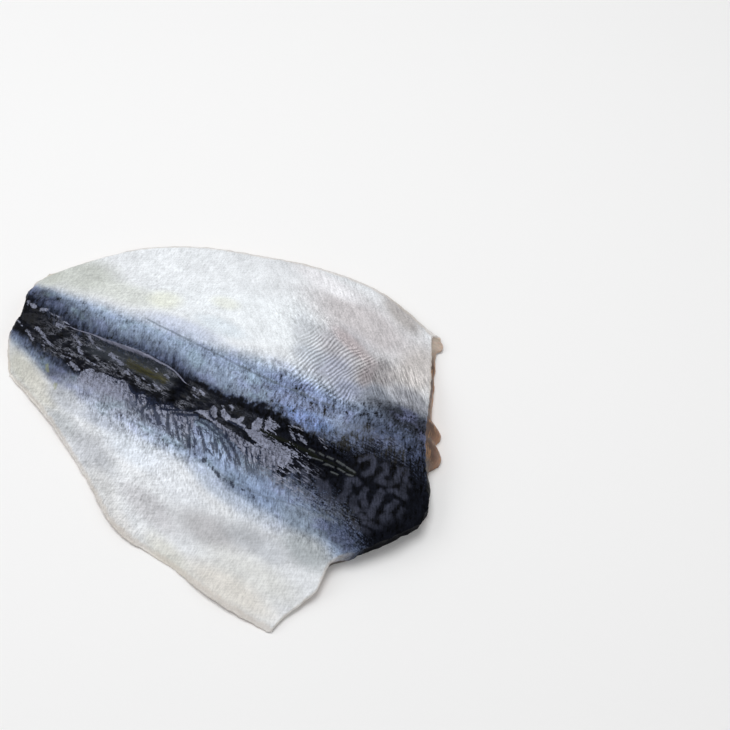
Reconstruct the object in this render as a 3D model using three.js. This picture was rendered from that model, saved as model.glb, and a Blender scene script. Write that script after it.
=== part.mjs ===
// A butterflied mackerel: head and tail cut off, boned, opened flat from the belly and laid skin side up.
// Millimetres, +Z up. +X runs along the back from the tail cut to the nape, and +Y is the far flank.
// The origin is under the middle of the fish, on the surface that it lies on.
import * as THREE from "three";
import { mergeVertices } from "three/addons/utils/BufferGeometryUtils.js";

// ---- Driving dimensions ---------------------------------------------------------------------
const BODY_LENGTH = 220; // tail cut to nape, along the back
const TAIL_END = -2.2; // where the back line starts
const LOIN_THICKNESS = 16.5; // the thickest meat, beside the back
const TAIL_THICKNESS = 8.5; // the meat at the tail cut
const BACK_SHARE = 0.84; // thickness on the back line, as a share of the loin's
const CREST = 0.24; // where a loin is thickest, as a share of its flank's width
const EDGE_THICKNESS = { far: 5.2, near: 3.0 }; // belly edge, skin and meat together
const CORNER_THICKNESS = 2.6; // the far edge thins to this towards its two corners

// Where each belly edge starts at the tail cut and ends at the head cut, and the flank's width at
// equal steps between the two, measured from the straight line that joins tail cut and nape.
const FLANK = {
  far: { from: -4, to: 181, widths: [33, 62.2, 79.4, 87.4, 93.8, 94.8, 84] },
  near: { from: 9, to: 180, widths: [22.8, 34.5, 50.5, 67.9, 72, 77.8, 79.8] },
};
// Bends of the two knife cuts on each flank: [along, out from the middle], from back to belly edge.
const TAIL_CUT = {
  far: [[-2.4, 6], [-4, 12.5], [-6.8, 19], [-6.6, 27]],
  near: [[-0.8, 7], [2.6, 14], [6.6, 20]],
};
const HEAD_CUT = {
  far: [[210, 14], [204.4, 25], [198.6, 40], [191.4, 60]],
  near: [[217.4, 9], [209.5, 21], [198.6, 33.5], [190, 42], [189.8, 56], [184, 67], [182, 72]],
};

const BACK_BOW = { rise: 5.5, at: 55, spread: 42 }; // the back line's bow towards the far flank
const DORSAL_GROOVE = { from: 112, to: 190, depth: 2.4, width: 4.2 }; // where the long fin came out
const FIN_SLIT = { from: 20, to: 98, halfWidth: 5.2, depth: 2.3 }; // where the short fin came out
const SLIT_LIP = { height: 1.7, width: 1.9, nearShare: 0.45 }; // the fold of skin round the slit
const NAPE_DROOP = 4.2; // how far the skin rolls down over the head cut at the nape
const TAIL_DROOP = 1.6;

// Hollows (negative) and swells of the thin flanks: where they are, how deep and how wide.
const FLANK_WAVES = [
  { x: 118, y: -56, height: -1.5, radius: 20 },
  { x: 92, y: -52, height: 1.0, radius: 12 },
  { x: 150, y: -68, height: 1.1, radius: 17 },
  { x: 52, y: 58, height: -0.8, radius: 20 },
  { x: 100, y: 66, height: 1.2, radius: 24 },
  { x: 158, y: 62, height: -1.3, radius: 18 },
  { x: 174, y: 74, height: 0.9, radius: 10 },
];

// The knife went through slanting, so the meat at the head cut stands out past the skin on the far
// side and is set back on the near side. Its lobes: where across, how far out, how wide.
const HEAD_FLARE = { far: 1.8, near: -2.4 };
const MEAT_LOBES = [
  { y: 37, out: 5.4, width: 3.6 },
  { y: 26.5, out: 6.6, width: 4.6 },
  { y: 81, out: 4, width: 3 },
  { y: -38, out: 1.2, width: 4 },
];
const WALL_BULGE = 0.9; // how far the meat swells between skin and underside, at the other edges

const BONE_CHANNEL = { depth: 2.4, width: 5.5 }; // left under the back by the backbone
const FLAP_LIFT = 1.3; // how far the belly edges' waves lift off the surface
const FLAP_WAVES = { far: 2.5, near: 3 };
const FLAP_STARTS = 0.72; // share of the flank's width past which it waves

const SKIN_COLOUR = "#7d8694";
const SEGMENTS = { along: 44, across: 48, through: 3 };
const CLOSER_TO_BACK = 1.25; // above 1, the columns crowd towards the back

// ---- Small helpers --------------------------------------------------------------------------
const { lerp, smoothstep, clamp } = THREE.MathUtils;
const bell = (distance, width) => Math.exp(-((distance / width) ** 2));
const planar = (x, y) => new THREE.Vector2(x, y);

// ---- Outline --------------------------------------------------------------------------------
const backLine = (x) => BACK_BOW.rise * bell(x - BACK_BOW.at, BACK_BOW.spread);
const sideSign = { far: 1, near: -1 };

// One flank is a patch between the back line and its belly edge, closed by the two knife cuts.
function makeFlank(side) {
  const sign = sideSign[side];
  const { from, to, widths } = FLANK[side];
  const steps = widths.length - 1;
  const belly = new THREE.SplineCurve(
    widths.map((width, i) => planar(lerp(from, to, i / steps), sign * width)),
  );
  const cut = (start, bends, end) =>
    new THREE.SplineCurve([start, ...bends.map(([x, y]) => planar(x, sign * y)), end]);
  const back = (a) => {
    const x = TAIL_END + a * BODY_LENGTH;
    return planar(x, backLine(x));
  };
  const tail = cut(back(0), TAIL_CUT[side], belly.getPoint(0));
  const head = cut(back(1), HEAD_CUT[side], belly.getPoint(1));

  // How far a cut strays from the straight line between its ends.
  const stray = (curve, t) =>
    curve.getPointAt(t).sub(curve.getPoint(0).lerp(curve.getPoint(1), t));

  // a runs from tail to head and t from the back to the belly edge, both 0 to 1.
  return (a, t) =>
    back(a)
      .lerp(belly.getPoint(a), t)
      .addScaledVector(stray(tail, t), (1 - a) ** 2)
      .addScaledVector(stray(head, t), a ** 2);
}
const flanks = { far: makeFlank("far"), near: makeFlank("near") };

// ---- Skin side ------------------------------------------------------------------------------
const loinThickness = (a) => lerp(TAIL_THICKNESS, LOIN_THICKNESS, smoothstep(a, -0.1, 0.72));

function edgeThickness(side, a) {
  const middle = Math.sin(Math.PI * clamp(a, 0, 1)) ** 0.6;
  return lerp(CORNER_THICKNESS, EDGE_THICKNESS[side], middle);
}

// The rounded loin beside the back, falling to the thin belly wall.
function flankThickness(side, a, t) {
  const loin = loinThickness(a);
  if (t < CREST) return loin * lerp(BACK_SHARE, 1, Math.sin((Math.PI / 2) * (t / CREST)) ** 1.5);
  const fall = (1 + Math.cos(Math.PI * ((t - CREST) / (1 - CREST)) ** 0.85)) / 2;
  return lerp(edgeThickness(side, a), loin, fall);
}

function dorsalGroove(x, offBack) {
  const { from, to, depth, width } = DORSAL_GROOVE;
  const run = smoothstep(x, from, from + 25) * (1 - smoothstep(x, to - 22, to));
  return -depth * run * bell(offBack, width);
}

// A leaf-shaped slit with a fold of skin along each side, the far one standing higher.
function finSlit(x, offBack) {
  const { from, to, halfWidth, depth } = FIN_SLIT;
  if (x <= from || x >= to) return 0;
  const open = Math.sin((Math.PI * (x - from)) / (to - from)) ** 0.7;
  const lipAt = halfWidth * open;
  const hollow = -depth * open * bell(offBack, Math.max(lipAt * 0.75, 1));
  const farLip = SLIT_LIP.height * open * bell(offBack - lipAt, SLIT_LIP.width);
  const nearLip = SLIT_LIP.nearShare * SLIT_LIP.height * open * bell(offBack + lipAt, SLIT_LIP.width);
  return hollow + farLip + nearLip;
}

const flankWaves = (x, y) =>
  FLANK_WAVES.reduce((sum, w) => sum + w.height * bell(Math.hypot(x - w.x, y - w.y), w.radius), 0);

// ---- Underside ------------------------------------------------------------------------------
const boneChannel = (a, offBack) =>
  BONE_CHANNEL.depth * smoothstep(a, 0.02, 0.2) * bell(offBack, BONE_CHANNEL.width);

function flapLift(side, a, t) {
  const wave = (1 - Math.cos(2 * Math.PI * FLAP_WAVES[side] * a)) / 2;
  return FLAP_LIFT * wave * smoothstep(t, FLAP_STARTS, 1);
}

// ---- Meat at the edges ----------------------------------------------------------------------
const meatLobes = (y) =>
  MEAT_LOBES.reduce((sum, lobe) => sum + lobe.out * bell(y - lobe.y, lobe.width), 0);

// How far the edge is pushed out, by height k from the underside (0) to the skin (1).
function pushEdge(place, side, a, t, k) {
  const meatShows = (1 - k ** 3) * smoothstep(a, 0.95, 1);
  const flare = HEAD_FLARE[side] * smoothstep(t, 0, 0.15);
  const swell = WALL_BULGE * Math.sin(Math.PI * k);
  place.x += (flare + meatLobes(place.y)) * meatShows;
  if (a === 0) place.x -= swell;
  if (t === 1) place.y += sideSign[side] * swell;
}

// ---- The fish -------------------------------------------------------------------------------
// Bends a unit box into the fish: a along the body, c across it from -1 to 1, k up through it.
function fishPoint(a, c, k) {
  const side = c < 0 ? "near" : "far";
  const t = Math.abs(c) ** CLOSER_TO_BACK;
  const place = flanks[side](a, t);
  const offBack = place.y - backLine(place.x);
  const lift = flapLift(side, a, t);
  const towardsBack = 1 - smoothstep(t, 0.1, 0.75);
  const droop =
    NAPE_DROOP * towardsBack * smoothstep(a, 0.93, 1) ** 2 + TAIL_DROOP * (1 - smoothstep(a, 0, 0.06));
  const skin =
    lift +
    flankThickness(side, a, t) -
    droop +
    dorsalGroove(place.x, offBack) +
    finSlit(place.x, offBack) +
    flankWaves(place.x, place.y);
  const under = lift + boneChannel(a, offBack);
  pushEdge(place, side, a, t, k);
  return new THREE.Vector3(place.x, place.y, lerp(under, skin, k));
}

function makeFishGeometry() {
  const box = new THREE.BoxGeometry(1, 2, 1, SEGMENTS.along, SEGMENTS.across, SEGMENTS.through);
  box.deleteAttribute("normal");
  box.deleteAttribute("uv");
  const geometry = mergeVertices(box, 1e-4);
  const position = geometry.attributes.position;
  for (let i = 0; i < position.count; i++) {
    const point = fishPoint(position.getX(i) + 0.5, position.getY(i), position.getZ(i) + 0.5);
    position.setXYZ(i, point.x, point.y, point.z);
  }
  geometry.computeBoundingBox();
  const { min, max } = geometry.boundingBox;
  geometry.translate(-(min.x + max.x) / 2, -(min.y + max.y) / 2, -min.z);
  geometry.computeVertexNormals();
  return geometry;
}

const fish = new THREE.Mesh(
  makeFishGeometry(),
  new THREE.MeshStandardMaterial({ color: SKIN_COLOUR, roughness: 0.35, metalness: 0.1 }),
);
fish.name = "butterflied_mackerel";

const group = new THREE.Group();
group.add(fish);

export default group;
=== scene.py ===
"""A butterflied mackerel laid skin side up: its mesh, its skin and its meat, with soft light and a camera.

Sizes are millimetres in the fish's own frame: x runs along the back from the tail cut to the nape, y is
positive on the far flank, and z is up from the surface that it lies on. to_metres() gives the CAD frame.
"""

import math

import bmesh
import bpy
import numpy as np
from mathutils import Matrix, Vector, noise


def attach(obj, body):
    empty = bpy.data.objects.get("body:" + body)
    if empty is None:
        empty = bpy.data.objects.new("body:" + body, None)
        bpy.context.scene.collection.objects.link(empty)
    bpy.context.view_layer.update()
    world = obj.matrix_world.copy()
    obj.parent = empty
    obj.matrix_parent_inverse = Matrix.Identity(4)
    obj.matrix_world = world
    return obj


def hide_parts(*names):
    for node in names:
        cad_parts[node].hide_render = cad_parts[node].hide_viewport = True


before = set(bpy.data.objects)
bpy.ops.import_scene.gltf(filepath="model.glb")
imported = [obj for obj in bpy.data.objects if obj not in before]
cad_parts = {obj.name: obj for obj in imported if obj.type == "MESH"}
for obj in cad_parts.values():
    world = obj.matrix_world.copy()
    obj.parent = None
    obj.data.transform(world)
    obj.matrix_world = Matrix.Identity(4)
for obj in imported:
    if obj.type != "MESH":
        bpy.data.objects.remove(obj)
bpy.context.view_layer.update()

# ---- Driving dimensions ----
MM = 0.001
FRAME_ORIGIN = (105.14, 7.87)  # where the CAD frame's origin lies on the fish

BODY_LENGTH = 220  # tail cut to nape, along the back
TAIL_END = -2.2  # where the back line starts
LOIN_THICKNESS = 16.5
TAIL_THICKNESS = 8.5
LOIN_GROWS = (-0.1, 0.72)  # between which shares of the length it thickens from the one to the other
BACK_SHARE = 0.84  # thickness on the back line, as a share of the loin's
CREST = 0.24  # where a loin is thickest, as a share of its flank's width
EDGE_THICKNESS = {"far": 5.2, "near": 3.0}
CORNER_THICKNESS = 2.6

# Each belly edge from tail cut to head cut, by its distance from the straight middle at equal steps.
BELLY_EDGE = {
    "far": {"start": -4, "end": 181, "widths": [33, 62.2, 79.4, 87.4, 93.8, 94.8, 84]},
    "near": {"start": 9, "end": 180, "widths": [22.8, 34.5, 50.5, 67.9, 72, 77.8, 79.8]},
}
# Bends of the two knife cuts, from the back to the belly edge: along, and out from the middle.
TAIL_CUT = {
    "far": [(-2.4, 6), (-4, 12.5), (-6.8, 19), (-6.6, 27)],
    "near": [(-0.8, 7), (2.6, 14), (6.6, 20)],
}
HEAD_CUT = {
    "far": [(210, 14), (204.4, 25), (198.6, 40), (191.4, 60)],
    "near": [(217.4, 9), (209.5, 21), (198.6, 33.5), (190, 42), (189.8, 56), (184, 67), (182, 72)],
}
BACK_BOW = {"rise": 5.5, "at": 55, "spread": 42}
DORSAL_GROOVE = {"start": 112, "end": 190, "depth": 2.4, "width": 4.2, "run_in": 25, "run_out": 22}
FIN_SLIT = {"start": 20, "end": 98, "half_width": 5.2, "depth": 2.3}
SLIT_LIP = {"height": 1.7, "width": 1.5, "near_share": 0.45}
# How far the skin rolls down at the two cuts, and past which share of the length, or up to which.
NAPE_DROOP = {"depth": 4.2, "start": 0.93}
TAIL_DROOP = {"depth": 1.6, "end": 0.06}
# Hollows and swells of the thin flanks: x, y, height, radius.
FLANK_WAVES = [
    (118, -56, -1.5, 20),
    (92, -52, 1.0, 12),
    (150, -68, 1.1, 17),
    (52, 58, -0.8, 20),
    (100, 66, 1.2, 24),
    (158, 62, -1.3, 18),
    (174, 74, 0.9, 10),
]
HEAD_FLARE = {"far": 1.8, "near": -2.4}
# Raw meat that stands out past the skin at the head cut: y, how far out, width.
MEAT_LOBES = [(37, 5.4, 3.6), (26.5, 6.6, 4.6), (81, 4, 3), (-38, 1.2, 4)]
LOBE_BREADTH = 1.15  # the lobes are this much broader than the solid's, and squarer
WALL_BULGE = 0.9
BONE_CHANNEL = {"depth": 2.4, "width": 5.5, "start": 0.02, "full": 0.2}
FLAP_LIFT = 1.3
FLAP_WAVES = {"far": 2.5, "near": 3}
FLAP_STARTS = 0.72
# Muscle flakes on the meat side, and the marks that the ribs left on the belly wall.
FLAKES = {"pitch": 5.6, "zigzag": 8, "half_wave": 21, "height": 0.3}
RIB_MARKS = {"pitch": 7.5, "slant": 0.45}

# Heights of the skin's fine relief, and how far it frays at the cuts and the belly edges.
RELIEF = {"wrinkles": 0.2, "folds": 0.4, "wet": 0.22, "clefts": 0.2, "stumps": 0.8, "lip": 0.7, "line": 0.14}
RAGGED = {"head": 0.75, "tail": 0.6, "belly": 0.45, "reach": 2.5}
KNOT_AT = 89  # x of the dark knot that closes the slit

# The mesh: cells of the underside; the skin and the walls have nine for each.
CELLS = {"along": 104, "across": 82, "through": 3}
# Where its rows and columns crowd: share of the way, how much denser, over what share.
CROWDED_ROWS = [(0, 2.0, 0.015), (1, 2.0, 0.015)]
CROWDED_COLUMNS = [(0, 2.2, 0.012), (0.5, 1.2, 0.16), (1, 2.2, 0.012)]
RIM_ROUND = {"far": 3.2, "near": 2.8, "cut": 1.8}  # over how far the skin turns down at its edges

# How far down the skin rolls over the head cut: y, and the lowest share of the height. Elsewhere it is half.
SKIN_AT_HEAD = [(-44, 0.5), (-34, 0.05), (10, 0.05), (15, 0.999)]

SIGN = {"far": 1.0, "near": -1.0}
ON_EDGE = 1e-6  # nearer than this to an edge is on it
# Fractal noise: how fast its octaves fade, how much finer each is, and how far a seed moves it.
GRAIN = {"fade": 0.9, "finer": 2.1, "seed_shift": (17.3, 9.1)}


def to_metres(points):
    shifted = points - np.array([*FRAME_ORIGIN, 0.0])
    return shifted * MM


# ---- Helpers on arrays ----
def soft_step(value, low, high):
    share = np.clip((value - low) / (high - low), 0, 1)
    return share * share * (3 - 2 * share)


def bell(distance, width):
    return np.exp(-((distance / width) ** 2))


def between(low, high, share):
    return low + (high - low) * share


def through(points):
    """A smooth curve through points, by the share of its points that is passed."""
    points = np.array(points, float)
    last = len(points) - 1

    def at(share):
        passed = np.clip(share, 0, 1) * last
        i = np.minimum(passed.astype(int), last - 1)
        w = (passed - i)[..., None]
        start, end = points[i], points[i + 1]
        leave = (end - points[np.maximum(i - 1, 0)]) / 2
        arrive = (points[np.minimum(i + 2, last)] - start) / 2
        cubic = 2 * start - 2 * end + leave + arrive
        square = 3 * end - 3 * start - 2 * leave - arrive
        return cubic * w**3 + square * w**2 + leave * w + start

    return at


def by_length(curve):
    """The same curve by the share of its length that is passed."""
    shares = np.linspace(0, 1, 401)
    steps = np.linalg.norm(np.diff(curve(shares), axis=0), axis=1)
    run = np.concatenate([[0], np.cumsum(steps)])
    return lambda share: curve(np.interp(share, run / run[-1], shares))


def crowd(share, places):
    """Moves evenly spaced shares so that they crowd towards the given places."""
    fine = np.linspace(0, 1, 2001)
    density = 1 + sum(extra * bell(fine - place, reach) for place, extra, reach in places)
    total = np.concatenate([[0], np.cumsum((density[1:] + density[:-1]) / 2)])
    return np.interp(share, total / total[-1], fine)


def grain(x, y, size, octaves, seed, z=0.0):
    """Seeded fractal noise over the fish, about -1 to 1, with features of the given size (x, y)."""
    shift_x, shift_y = GRAIN["seed_shift"]
    x = x / size[0] + shift_x * seed
    y = y / size[1] - shift_y * seed
    spots = np.stack(np.broadcast_arrays(x, y, z), -1)

    def at(spot):
        return noise.fractal(spot, GRAIN["fade"], GRAIN["finer"], octaves, noise_basis="PERLIN_ORIGINAL")

    return np.array([at(spot) for spot in spots.reshape(-1, 3).tolist()]).reshape(spots.shape[:-1])


def by_flank(far, values):
    """The far or the near flank's value, point by point."""
    return np.where(far, values["far"], values["near"])


# ---- Outline ----
def back_line(x):
    return BACK_BOW["rise"] * bell(x - BACK_BOW["at"], BACK_BOW["spread"])


def back_at(a):
    x = TAIL_END + a * BODY_LENGTH
    return np.stack([x, back_line(x)], -1)


def flank(side):
    """Gives where a point of one flank lies, and how wide the flank is.

    a runs from tail to head and t from the back to the belly edge, both 0 to 1.
    """
    sign = SIGN[side]
    edge = BELLY_EDGE[side]
    steps = np.linspace(edge["start"], edge["end"], len(edge["widths"]))
    belly = through([(x, sign * width) for x, width in zip(steps, edge["widths"])])
    nothing, everything = np.array(0.0), np.array(1.0)

    def cut(bends, end):
        points = [back_at(end)] + [(x, sign * out) for x, out in bends] + [belly(end)]
        curve = by_length(through(points))
        start, stop = curve(nothing), curve(everything)
        return lambda t: curve(t) - between(start, stop, t[..., None])

    tail_stray = cut(TAIL_CUT[side], nothing)
    head_stray = cut(HEAD_CUT[side], everything)

    def place(a, t):
        straight = between(back_at(a), belly(a), t[..., None])
        return straight + tail_stray(t) * ((1 - a) ** 2)[..., None] + head_stray(t) * (a**2)[..., None]

    def width_at(a):
        return np.linalg.norm(belly(a) - back_at(a), axis=-1)

    return place, width_at


# ---- Skin side ----
def flank_thickness(far, a, t):
    """The rounded loin beside the back, falling to the thin belly wall."""
    loin = between(TAIL_THICKNESS, LOIN_THICKNESS, soft_step(a, *LOIN_GROWS))
    middle = np.sin(np.pi * np.clip(a, 0, 1)) ** 0.6
    edge = between(CORNER_THICKNESS, by_flank(far, EDGE_THICKNESS), middle)
    rise = np.sin(np.pi / 2 * np.clip(t / CREST, 0, 1)) ** 1.5
    fall = (1 + np.cos(np.pi * np.clip((t - CREST) / (1 - CREST), 0, 1) ** 0.85)) / 2
    return np.where(t < CREST, loin * between(BACK_SHARE, 1, rise), between(edge, loin, fall))


def dorsal_groove(x, off_back):
    start, end = DORSAL_GROOVE["start"], DORSAL_GROOVE["end"]
    run = soft_step(x, start, start + DORSAL_GROOVE["run_in"])
    run = run * (1 - soft_step(x, end - DORSAL_GROOVE["run_out"], end))
    return -DORSAL_GROOVE["depth"] * run * bell(off_back, DORSAL_GROOVE["width"])


def fin_slit(x, off_back):
    """A leaf-shaped slit with a fold of skin along each side, the far one standing higher."""
    run = np.clip((x - FIN_SLIT["start"]) / (FIN_SLIT["end"] - FIN_SLIT["start"]), 0, 1)
    opening = np.sin(np.pi * run) ** 0.7
    lip_at = FIN_SLIT["half_width"] * opening
    hollow = -FIN_SLIT["depth"] * opening * bell(off_back, np.maximum(lip_at * 0.75, 1))
    far_lip = SLIT_LIP["height"] * opening * bell(off_back - lip_at, SLIT_LIP["width"])
    near_lip = SLIT_LIP["near_share"] * SLIT_LIP["height"] * opening
    near_lip = near_lip * bell(off_back + lip_at, SLIT_LIP["width"])
    return hollow + far_lip + near_lip


def flank_waves(x, y):
    total = 0
    for at_x, at_y, height, radius in FLANK_WAVES:
        total = total + height * bell(np.hypot(x - at_x, y - at_y), radius)
    return total


def rounded(distance, reach):
    """How far a rim of this reach has turned down at this distance from its edge, at 45 degrees there."""
    left = 1 - np.clip(distance / reach, 0, 1)
    return reach * left**2 / 2


# ---- Marks on the skin ----
FAR_OUTSIDE = -20.0  # what a field of marks says far off them, in millimetres

# The dark back's edge on each flank: x, y, and over how many millimetres it fades.
DARK_EDGE = {
    "far": [
        (-8, 20, 3), (-1, 18.5, 4), (10, 16, 6), (25, 13, 6), (45, 12.5, 6), (62, 13, 6), (76, 13, 5),
        (86, 11.5, 4), (94, 10, 2), (102, 8.5, 1.2), (112, 8.5, 1.2), (122, 10.2, 1.8), (130, 12.2, 2.2),
        (138, 11.4, 2), (145, 9, 1.4), (152, 8.2, 1.4), (163, 9, 3), (173, 12, 6), (184, 17.5, 7),
        (206, 20, 8),
    ],
    "near": [
        (-5, -3, 1.5), (3, -5.4, 2), (10, -7.6, 2.5), (20, -9.8, 3), (30, -11.2, 3), (38, -12.4, 1.5),
        (58, -11, 1), (72, -12, 1), (84, -13, 1), (97, -11, 1), (104, -8, 0.8), (112, -8, 0.8),
        (120, -10.5, 1), (130, -13.5, 1.5), (140, -15, 2), (150, -18.5, 4), (160, -19, 6), (170, -21, 7),
        (182, -24, 8), (192, -29, 8), (205, -37, 5),
    ],
}
# The blue band's edge to the pale belly, in the same way.
BLUE_EDGE = {
    "far": [
        (-8, 24, 3), (12, 25, 4), (36, 26, 5), (60, 28, 6), (96, 29, 6), (114, 31.5, 7), (132, 34, 9),
        (165, 33, 9), (184, 39, 8), (205, 42, 8),
    ],
    "near": [
        (-5, -6, 2), (12, -13, 3), (29, -18, 4), (47, -21, 5), (60, -25, 6), (84, -28, 6), (108, -29.5, 5),
        (120, -31, 6), (132, -33.5, 7), (144, -38, 8), (156, -38, 8), (180, -38, 7), (200, -46, 5),
    ],
}

# Wet film beside the back, with a painted reflection of the light in it: along the slit, from its end
# into a broad wedge, and in islands next to that.
FILM_REFLECTION_OUTLINES = [
    [
        (42, -14), (42.4, -10.4), (43.4, -8.4), (46.5, -6.4), (49.5, -7.6), (53, -6.4), (57, -7),
        (63, -6), (66.5, -6.6), (69, -9), (72, -9.8), (74.5, -8.2), (78, -8.8), (80, -10.4), (83, -10.8),
        (86, -9.8), (90, -8), (95, -9), (98, -7.8), (101, -6.4), (104, -9), (106, -20), (84, -22),
        (60, -22), (45, -20),
    ],
    [
        (101.5, -6), (105, -6), (109, -6.8), (114, -8.2), (119, -9.8), (122, -12.2), (126, -12.5),
        (130, -14.5), (135, -17.5), (140, -19), (146, -20), (154, -19), (159, -14), (160, -9),
        (155, -4.4), (150, -2.6), (145, -2.8), (140, -3), (137, -2), (133.5, -1.2), (129.5, -2),
        (126, -4), (131, -6.5), (138, -9.2), (133, -9.4), (125, -8), (119, -7.2), (113, -5.8), (109, -4),
        (107, -1.8), (104.6, -3.8), (102.5, -4.2),
    ],
    [
        (111.5, 0), (113, 1.6), (115, 0.4), (118, -1), (121, -0.4), (122.4, 2.6), (123.8, 1.6), (123.6, -1),
        (126, -2), (127.5, -3.4), (122, -4), (117, -3.8), (113.5, -2.4),
    ],
    [(129.2, -2.5), (127.6, 1), (128.6, 4), (131.2, 5), (132.6, 2.6), (132.4, -1.5)],
    [(133.2, 1.6), (133, 5.6), (134.6, 6.8), (137, 5), (138.8, 4), (138, 1.6), (135.4, 0.6)],
    [(107.4, 1), (109.6, 0.4), (112.4, -3.6), (111.4, -5.2), (109, -4), (107.4, -1)],
]
# Raised wet strokes with painted glints on them. Strokes are a width and the points that they run through.
GLINT_STROKES = [
    (2.2, (-2.5, 12.5), (3.5, 11)), (2, (6.5, 11), (9.5, 11.5)), (1, (10.5, 11), (17, 11)),
    (1.2, (21, 10), (24.5, 9)), (2.4, (18, 7.5), (21.5, 7.5)), (2, (6.5, -1.5), (12, -5)),
    (2, (10, 2), (16, -1), (20, -3.5), (22.5, -3.5)), (1.4, (16, -1), (17.5, -3.4)),
    (1.2, (18.6, -5.6), (20.6, -7.6)), (2, (30, 5), (33, 3.5), (35, -0.5), (37.5, -1.5)),
    (2, (36, 7.5), (38.5, 6.5)), (1, (30, -4.5), (34, -4)), (1, (38.5, -3), (47, -4.5)),
    (2.8, (49, 5), (57.5, 2)), (1.4, (61, -1.5), (64, -2)), (1, (61.5, 0.5), (66.5, -1.5), (71.5, -3.5)),
    (1, (70.5, -1), (76, -3)), (1.6, (76.5, -1.5), (81, -2.5)), (1.4, (78.6, 5.7), (81, 5.2)),
    (1.2, (72.8, 6.8), (74.6, 6.2)), (1.2, (144.5, 6.5), (152, 7)), (1.4, (145, 5), (149, 2.5)),
    (1.2, (159.5, 7), (164.5, 4.5)), (1, (41, 5.6), (43.4, 4.8)), (1.1, (26.6, 5.6), (28.8, 5)),
    (1, (-1.4, 2), (2, 0.4)), (0.9, (29.4, -6.6), (34.6, -6)), (1.6, (150, 4.6), (154.6, 2.4)),
    (2.4, (35.6, -8.4), (40.4, -9.8)), (1.2, (157, -1.8), (160, -3)), (1.5, (115, 3.8), (117, 3.4)),
    (1.2, (111.6, 2.6), (112, 2.2)), (1.8, (94.8, 4.8), (97.6, 3.4)), (1.2, (97.6, 5.4), (100.6, 4)),
    (1.2, (96.4, 1.6), (99, 1)),
]
# Dark folds: clefts through the wet film's painted reflection and barbs below it.
FOLDS = [
    (1, (67, -7), (70, -9.5), (73, -9.6), (75, -8)), (1, (77.5, -9.5), (81, -11), (83.5, -9.8)),
    (1.1, (87, -11.6), (91, -10.4), (96, -8)), (1.8, (87.5, -15), (89.6, -18.6)),
    (1, (84, -13), (85.6, -16)), (1.7, (104.6, -18.5), (108.4, -23)),
    (1.2, (107.5, -12.5), (112, -16.6), (116, -21.5)), (1.4, (119.8, -13.6), (124.2, -17), (129, -21)),
    (1.3, (117.6, -15), (121.4, -20)), (1.3, (91.4, -12.8), (93.5, -17), (97, -21)),
    (1.2, (96.6, -14.6), (102.5, -22)), (1.1, (102.9, -13), (105.5, -17.5), (108.1, -22.5)),
    (1.4, (114.8, -9.5), (121.6, -12.1)), (1.2, (124.2, -13.2), (129.7, -17.4), (133.5, -21)),
    (1.5, (82.3, -11), (85.5, -14.5), (90.5, -18.6)), (1.3, (79.5, -9), (80, -13), (78.8, -17)),
    (1.2, (94, -11), (99, -9.5), (103.7, -7)), (1.3, (105.4, -9.4), (111.1, -10.2), (117.3, -11.9)),
    (1.1, (73, -10), (75.4, -14.6)), (1, (117.6, -3.2), (125, -3.2)),
    (0.9, (107.2, -2.6), (109, -4.6), (112, -6)),
]
# Dark blotches of the near flank, and green ones beside the slit.
BLOTCHES = [
    (1.8, (117.3, -25.8), (118, -26.3)), (1.3, (122.6, -27.2), (124, -28)),
    (1.6, (125.6, -28.4), (127, -29.2)), (1.7, (133.7, -29.8), (135.2, -30.8)),
    (1, (112.6, -25), (113.2, -25.2)), (0.9, (120.4, -26.8), (121, -27.2)),
    (0.8, (129.6, -29), (130.4, -29.4)), (0.9, (139.6, -30.4), (140.6, -30.6)),
    (0.8, (145, -31), (146, -31.4)),
]
GREEN_BLOTCHES = [(1.8, (25, -13.4), (26.4, -15.6)), (1.8, (33, -19.6), (34, -21))]
# The olive skin inside the slit and in the long fin's channel.
OLIVE_LEAF = [(4.6, (60, 4.6), (68, 3.4), (79, 3.4))]
OLIVE_CHANNEL = [
    (2, (133, -0.9), (140, -0.4), (147, 0), (154, -0.4), (162, -1)),
    (1, (162, -1), (170, -0.8), (182, -1.8)),
]
# The lateral line on each flank: x and y.
LATERAL_LINE = {
    "far": [
        (57, 27.6), (73, 26.3), (88, 25.1), (99, 24.3), (110, 23.3), (122, 22.6), (131, 22.3),
        (140, 22.8), (159, 22.8),
    ],
    "near": [(61, -23.8), (80, -22.4), (115, -24.4), (133, -29.4), (150, -29.6), (166, -27.2), (185, -26)],
}
# The raised fold beside the slit: x, y and half its width.
LIP = [
    (25, 8.6, 0.3), (32.5, 9, 0.5), (38, 9.5, 0.55), (43, 9.1, 0.7), (50, 9.5, 0.9), (56, 9.8, 1.2),
    (61, 10.1, 1.1), (66, 10, 1.3), (70, 10, 0.9), (74, 9.5, 0.9), (78.5, 9.4, 0.7), (82.5, 8.6, 0.6),
    (86, 7.1, 0.6), (90, 5.3, 0.4),
]
# Stumps of the long fin's rays, in two rows.
STUMPS = [
    (0.9, (171.3, 1.1), (175.4, 0.5)), (0.9, (173.6, -2.2), (177.1, -2.9)),
    (0.9, (176.8, 0.1), (181.4, -0.8)), (0.9, (178.6, -3.4), (181.3, -3.1)),
    (0.8, (167.6, -2.3), (171.5, -2.6)), (0.8, (166.4, 1.2), (169.3, 1.2)),
    (0.7, (162.8, -2.2), (165.4, -1.8)), (0.7, (166.9, -3.3), (168.6, -3.1)),
    (0.8, (171.8, -5.6), (175.1, -5.7)), (0.8, (160.8, -2.6), (162.8, -2.2)),
    (0.8, (157.4, 1), (160, 0.8)), (0.7, (162, 1.2), (164.6, 0.9)),
]
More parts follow.
